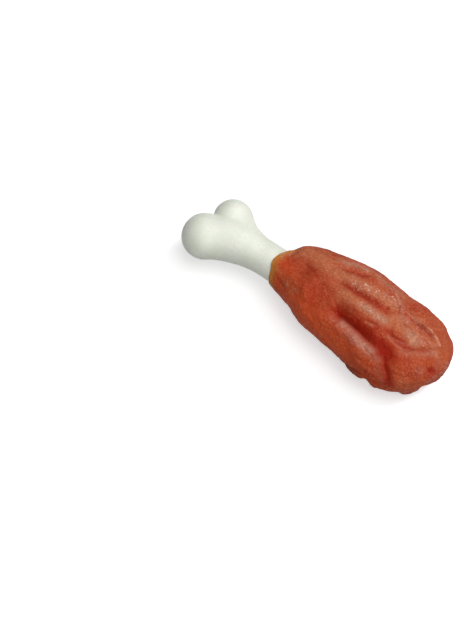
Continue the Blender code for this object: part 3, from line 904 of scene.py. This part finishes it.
@dataclass(frozen=True)
class MeatWrap:
    """The dried meat round the bone's shaft, with its folds."""

    bone: Bone
    tip_x: float
    tip_y: float = 0.4 * MM
    tip_z: float = 8.2 * MM
    shaft_z: float = 9.0 * MM
    hole_dome_x: float = 18.65 * MM
    socket_gap: float = 0.3 * MM
    mouth_gap: float = 0.06 * MM  # the mouth hugs the shaft
    lip_thickness: float = 0.62 * MM
    tongue_reach: float = 2.0 * MM  # the mouth's edge runs out over the top of the shaft
    tongue_angle: float = 98.0
    tongue_spread: float = 45.0
    mouth_wave: float = 0.45 * MM  # the mouth's edge is a little wavy
    mouth_waves: tuple[int, ...] = (2, 5, 9)
    flank_z: float = 8.6 * MM  # height of the widest line
    fullness: float = 0.86  # 1 makes the section an ellipse, less than 1 makes it squarer
    fullness_reach: float = 0.15
    tongue_end: float = 0.12
    flank_reach: float = 0.3
    tip_start: float = 0.667
    rings: int = 318
    sides: int = 282
    crowding: float = 0.3  # the sides are closer together on the folded face
    hole_share: float = 0.06  # share of the rings that line the hole
    # shares of those rings: bottom, dome's edge, lip, mouth's edge
    hole_stops: tuple[float, ...] = (0.0, 0.3, 0.6, 1.0)
    normal_step: float = 0.002  # share of the length, and angle, over which the surface's slope is measured
    path_samples: int = 40
    stain_samples: int = 16
    fold_reach: float = 4.0  # in flanks, and nothing of a fold shows beyond it
    pull_place: float = 1.0  # in flanks: where overhang pulls the most
    ridge_place: float = 1.65
    ridge_spread: float = 0.7
    lip_place: float = 2.3
    lip_spread: float = 1.6
    # The bank is where the low side's painted sheen is strongest.
    bank_place: float = 1.3  # where the low side is palest
    bank_spread: float = 0.7
    fold_fade: float = 0.3
    neck_fade: float = 0.05
    wander: float = 0.3 * MM  # how far the folds stray from their smooth paths
    wander_size: float = 3.0 * MM
    wander_seed: int = 6  # without one, Blender takes the time of day, and each run has other folds
    wrinkle_places: tuple[float, ...] = (2.0 * MM, 20.0 * MM, 36.0 * MM, 44.0 * MM)  # along X
    wrinkle_shares: tuple[float, ...] = (0.35, 1.0, 0.9, 0.45)  # how deep the skin's creases are there
    far_calm: float = 0.45  # how much of the small relief is lost on the +Y side
    amber_reach: float = 1.8 * MM
    amber_waver: float = 0.4
    amber_size: float = 1.6 * MM
    sections: tuple[Section, ...] = (
        Section((-9.4, 9.4), (-10.6, -6.9), 16.3, 1.9),
        Section((-4.6, 12.5), (-5.2, -8.6), 17.5, 0.8),
        Section((1.6, 13.4), (0.6, -10.9), 18.5, 0.1),
        Section((9.4, 14.85), (7.4, -12.0), 19.0, -0.4),
        Section((16.6, 14.75), (14.2, -13.0), 19.2, -0.6),
        Section((23.8, 13.7), (21.6, -14.3), 18.9, -0.6),
        Section((30.8, 13.6), (29.0, -14.2), 18.0, -0.3),
        Section((37.0, 12.2), (35.6, -12.9), 16.6, 0.5),
        Section((41.4, 8.7), (40.2, -9.8), 14.6, 2.0),
        Section((44.2, 5.1), (43.4, -4.9), 12.0, 4.6),
    )

    def section_table(self) -> Array:
        """Lists the sections in metres, with the round mouth put first and the tip last."""
        bone = self.bone
        rim = bone.shaft_radius + self.mouth_gap + self.lip_thickness
        right = (bone.mouth_x, bone.shaft_y + rim)
        left = (bone.mouth_x, bone.shaft_y - rim)
        mouth = (*right, *left, self.shaft_z + rim, self.shaft_z - rim)
        middle = [[value * MM for value in (*s.right, *s.left, s.top, s.bottom)] for s in self.sections]
        tip = (self.tip_x, self.tip_y, self.tip_x, self.tip_y, self.tip_z, self.tip_z)
        return np.array([mouth, *middle, tip])

    def tongue(self, around: Array) -> Array:
        """Works out how far the mouth's edge reaches out along the shaft at an angle."""
        off = (np.degrees(around) - self.tongue_angle + 180) % 360 - 180
        waves = sum(np.sin(number * around + number) / number for number in self.mouth_waves)
        return self.tongue_reach * bell(off / self.tongue_spread) + self.mouth_wave * waves

    def plain(self, along: Array, around: Array) -> Array:
        """Finds the meat's outer surface before any fold.

        Args:
            along: Shares of the way from neck to tip.
            around: Angles.

        Returns:
            A point for each place.
        """
        right_x, right_y, left_x, left_y, top, bottom = smooth_curve(self.section_table(), along).T
        power = 1 + (self.fullness - 1) * ease(along / self.fullness_reach)
        across = np.sign(np.cos(around)) * np.abs(np.cos(around)) ** power
        sine = np.sin(around)
        up = np.where(sine > 0, np.abs(sine) ** power, sine)
        middle = self.shaft_z + (self.flank_z - self.shaft_z) * ease(along / self.flank_reach)
        middle = middle + (self.tip_z - self.flank_z) * ease((along - self.tip_start) / (1 - self.tip_start))
        x = (right_x + left_x) / 2 + (right_x - left_x) / 2 * across
        x = x - self.tongue(around) * (1 - ease(along / self.tongue_end))
        y = (right_y + left_y) / 2 + (right_y - left_y) / 2 * across
        z = middle + np.where(up > 0, top - middle, middle - bottom) * up
        return np.stack([x, y, z], axis=1)

    def outward(self, along: Array, around: Array) -> Array:
        """Finds the plain surface's outward unit normals."""
        step = self.normal_step
        tiny = 1e-15  # keeps the poles from dividing by zero
        ahead = self.plain(along + step, around) - self.plain(along - step, around)
        aside = self.plain(along, around + step) - self.plain(along, around - step)
        normal = np.cross(aside, ahead)
        return normal / (np.linalg.norm(normal, axis=1)[:, None] + tiny)

    def place(self, place: tuple[float, float]) -> Array:
        """Returns the point at a place on the plain surface."""
        return self.plain(np.array([place[0]]), np.array([math.radians(place[1])]))[0]

    def press(self, points: Array, normals: Array, fold: Fold) -> tuple[Array, Array, Array]:
        """Presses one fold into the plain surface.

        Args:
            points: Points of the surface, moved about a little so that the fold wanders.
            normals: The surface's normals there.
            fold: The fold.

        Returns:
            How each point moves, and how strong the DEEP_SHADE and PALE_SHEEN tints are there.
        """
        width, flank = fold.width * MM, fold.flank * MM
        turned = [(along, math.radians(angle)) for along, angle in fold.path]
        turned = smooth_curve(turned, np.linspace(0, 1, self.path_samples))
        route = self.plain(turned[:, 0], turned[:, 1])
        ways = np.gradient(route, axis=0)
        ways /= np.linalg.norm(ways, axis=1)[:, None]
        sides = np.cross(self.outward(turned[:, 0], turned[:, 1]), ways)
        nearest = np.full(len(points), np.inf)
        share = np.zeros(len(points))
        beside = np.zeros(len(points))
        side = np.zeros((len(points), 3))
        last = len(route) - 1
        for i in range(last):
            step = route[i + 1] - route[i]
            part = np.clip((points - route[i]) @ step / (step @ step), 0, 1)
            off = points - route[i] - part[:, None] * step
            distance = np.linalg.norm(off, axis=1)
            closer = distance < nearest
            blend = sides[i] + part[:, None] * (sides[i + 1] - sides[i])
            nearest[closer] = distance[closer]
            share[closer] = (i + part[closer]) / last
            beside[closer] = np.sum(off * blend, axis=1)[closer]
            side[closer] = blend[closer]
        strength = ease(share / self.fold_fade) * ease((1 - share) / self.fold_fade)
        strength = strength * bell(np.maximum(nearest - np.abs(beside), 0) / flank)
        floor = notch(np.where(beside < 0, beside / width, beside / flank))
        ridge = bell((beside / flank - self.ridge_place) / self.ridge_spread)
        lip = bell((beside / width + self.lip_place) / self.lip_spread)
        pull = -fold.overhang * MM * bell(beside / flank - self.pull_place)
        rise = (fold.ridge * ridge + fold.lip * lip - fold.depth * floor) * MM
        moves = (strength * rise)[:, None] * normals + (strength * pull)[:, None] * side
        # Painted shade on the floor and its walls, and painted sheen on the low side's wall.
        bank = bell((beside / width + self.bank_place) / self.bank_spread)
        return moves, fold.deep * strength * floor, fold.pale * strength * bank

    def relief(self, points: Array, normals: Array) -> tuple[Array, dict[Tint, Array]]:
        """Works out how all folds, creases, lumps and grains move the plain surface, and how they tint it.

        Args:
            points: Points of the surface.
            normals: Its normals there.

        Returns:
            How each point moves, and the strength of each tint.
        """
        moves = np.zeros_like(points)
        tints = {tint: np.zeros(len(points)) for tint in Tint}
        noise.seed_set(self.wander_seed)
        places = (points / self.wander_size).tolist()
        strayed = points + self.wander * np.array([noise.noise_vector(place) for place in places])
        for fold in (*FOLDS.values(), *CREASES.values()):
            route = np.array([self.place(place) for place in fold.path])
            middle = route.mean(axis=0)
            reach = np.linalg.norm(route - middle, axis=1).max() + self.fold_reach * fold.flank * MM
            near = np.linalg.norm(points - middle, axis=1) < reach
            move, deep, pale = self.press(strayed[near], normals[near], fold)
            moves[near] += move
            tints[Tint.DEEP_SHADE][near] = np.maximum(tints[Tint.DEEP_SHADE][near], deep)
            tints[Tint.PALE_SHEEN][near] = np.maximum(tints[Tint.PALE_SHEEN][near], pale)
        for lump in LUMPS.values():
            distance = np.linalg.norm(strayed - self.place(lump.place), axis=1)
            moves += (lump.height * MM * bell(distance / (lump.radius * MM)))[:, None] * normals
        for tint, stain in ((tint, stain) for tint, stains in STAINS.items() for stain in stains.values()):
            places = stain.path
            if len(places) > 1:
                places = smooth_curve(places, np.linspace(0, 1, self.stain_samples))
            spots = [self.place(place) for place in places]
            distance = np.min([np.linalg.norm(strayed - spot, axis=1) for spot in spots], axis=0)
            tints[tint] = np.maximum(tints[tint], stain.strength * bell(distance / (stain.radius * MM)))
        calm = 1 - self.far_calm * ease(normals[:, 1])
        for grain in GRAINS:
            moves += (grain.heights(points) * calm)[:, None] * normals
        wrinkled = calm * np.interp(points[:, 0], self.wrinkle_places, self.wrinkle_shares)
        for skin in SKIN:
            moves += (skin.heights(strayed) * wrinkled)[:, None] * normals
        return moves, tints

    def hole(self, share: Array, around: Array) -> Array:
        """Finds the blind hole that the shaft fills, and the lip round its mouth.

        Args:
            share: Places from the hole's bottom at 0 to the mouth's edge at 1.
            around: Angles.

        Returns:
            A point for each place.
        """
        gaps = (self.socket_gap, self.socket_gap, self.mouth_gap, self.mouth_gap)
        radius = self.bone.shaft_radius + np.interp(share, self.hole_stops, gaps)
        tilt = np.interp(share, self.hole_stops, (math.pi / 2, 0.0, 0.0, 0.0))
        stops_x = (self.hole_dome_x, self.hole_dome_x, self.bone.mouth_x, self.bone.mouth_x)
        x = np.interp(share, self.hole_stops, stops_x)
        dome_edge, lip_edge = self.hole_stops[1:3]
        lip_turn = np.interp(share, (lip_edge, 1.0), (0.0, math.pi))
        lip_radius = self.lip_thickness / 2
        reach = self.tongue(around) * ease((share - dome_edge) / (lip_edge - dome_edge))
        x = x + radius * np.sin(tilt) - lip_radius * np.sin(lip_turn) - reach
        radius = radius * np.cos(tilt) + lip_radius * (1 - np.cos(lip_turn))
        y = self.bone.shaft_y + radius * np.cos(around)
        return np.stack([x, y, self.shaft_z + radius * np.sin(around)], axis=1)

    def surface(self, share: Array, around: Array) -> tuple[Array, dict]:
        """Finds the whole meat's surface.

        Args:
            share: Places from the bottom of its hole at 0, over the mouth, to the tip at 1.
            around: Angles.

        Returns:
            A point for each place, and the strength of each tint.
        """
        around = around + self.crowding * np.cos(around)
        outside = share >= self.hole_share
        along = np.clip((share - self.hole_share) / (1 - self.hole_share), 0, 1)
        points = self.plain(along, around)
        moves, tints = self.relief(points, self.outward(along, around))
        points = points + moves * ease(along / self.neck_fade)[:, None]
        points[:, 2] = np.maximum(points[:, 2], 0)
        inside = self.hole(np.clip(share / self.hole_share, 0, 1), around)
        points = np.where(outside[:, None], points, inside)
        from_edge = points[:, 0] - (self.bone.mouth_x - self.tongue(around))
        reach = self.amber_reach * (1 + self.amber_waver * noise_values(points / self.amber_size))
        tints[Tint.AMBER] = bell(np.maximum(from_edge, 0) / reach)
        return points, {tint.value: np.clip(value, 0, 1) for tint, value in tints.items()}

    def build(self) -> Object:
        """Models the meat, dresses it and puts it in its solid's place."""
        meat = wrapped_sphere("dried_meat", self.rings, self.sides, self.surface)
        meat.data.materials.append(DriedDuckMeat().material())
        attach(meat, "root")
        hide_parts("meat")
        log.info("%s: %d faces", meat.name, len(meat.data.polygons))
        return meat


# ---------------- the studio


@dataclass(frozen=True)
class Lamp:
    """A square soft light that shines at the origin: its place and side in metres, and its power in watts."""

    name: str
    place: tuple[float, float, float]
    side: float
    power: float


@dataclass(frozen=True)
class Studio:
    """The floor, the light and the camera. The camera looks down on the chew as the photograph's does."""

    image_width: int = 464
    image_height: int = 619
    azimuth: float = 36.15
    elevation: float = 65.0
    lens: float = 85.0
    sensor: float = 36.0
    scale: float = 0.2953  # mm of the chew for each pixel
    aim_px: tuple[float, float] = (325.0, 303.0)  # where in the image the aim point lies
    aim_mm: tuple[float, float, float] = (4.3, -2.15, 9.5)
    floor_side: float = 3.0
    world_strength: float = 0.15
    lamps: tuple[Lamp, ...] = (
        Lamp("top", (0.30, 0.12, 1.20), 0.90, 6.1),
        Lamp("right", (0.40, 0.74, 0.96), 0.55, 7.0),
        Lamp("front", (0.62, -0.80, 0.90), 0.60, 5.4),
    )

    def lay_floor(self) -> None:
        """Lays the pale floor under the chew."""
        bm = bmesh.new()
        bmesh.ops.create_grid(bm, x_segments=1, y_segments=1, size=self.floor_side / 2)
        mesh = bpy.data.meshes.new("floor")
        bm.to_mesh(mesh)
        bm.free()
        mesh.materials.append(PalePaper().material())
        floor = add_object("floor", mesh)
        floor.visible_diffuse = False

    def set_lights(self) -> None:
        """Sets the soft lights, and weak even light from all round."""
        world = bpy.data.worlds.new("studio")
        bpy.context.scene.world = world
        world.use_nodes = True
        background = world.node_tree.nodes["Background"]
        background.inputs["Color"].default_value = (1.0, 1.0, 1.0, 1.0)
        background.inputs["Strength"].default_value = self.world_strength
        for lamp in self.lamps:
            light = bpy.data.lights.new(lamp.name, "AREA")
            light.size = lamp.side
            light.energy = lamp.power
            holder = add_object(lamp.name, light)
            holder.location = lamp.place
            holder.rotation_euler = (-Vector(lamp.place)).to_track_quat("-Z", "Y").to_euler()

    def set_camera(self) -> None:
        """Sets the camera so that the aim point lies at its place in the image, at the photograph's scale."""
        azimuth, elevation = math.radians(self.azimuth), math.radians(self.elevation)
        level = math.cos(elevation)
        back = Vector((math.sin(azimuth) * level, -math.cos(azimuth) * level, math.sin(elevation)))
        right = Vector((math.cos(azimuth), math.sin(azimuth), 0.0))
        up = back.cross(right)
        view_height = self.scale * MM * self.image_height
        distance = view_height * self.lens / self.sensor
        beside = (self.aim_px[0] - self.image_width / 2) * self.scale * MM
        above = (self.image_height / 2 - self.aim_px[1]) * self.scale * MM
        place = Vector(self.aim_mm) * MM + back * distance - right * beside - up * above
        camera = bpy.data.cameras.new("camera")
        camera.lens = self.lens
        camera.sensor_fit = "VERTICAL"
        camera.sensor_height = self.sensor
        holder = add_object("camera", camera)
        holder.matrix_world = Matrix.Translation(place) @ Matrix((right, up, back)).transposed().to_4x4()
        bpy.context.scene.camera = holder
        bpy.context.scene.view_settings.view_transform = "Standard"

    def build(self) -> None:
        """Builds the studio."""
        self.lay_floor()
        self.set_lights()
        self.set_camera()
        log.info("studio: floor, %d lights and camera", len(self.lamps))


def main() -> None:
    """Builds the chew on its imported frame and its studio."""
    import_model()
    bone = Bone(*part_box("bone"))
    bone.build()
    MeatWrap(bone, tip_x=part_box("meat")[1].x).build()
    Studio().build()


if __name__ == "__main__":
    logging.basicConfig(level=logging.INFO)
    main()
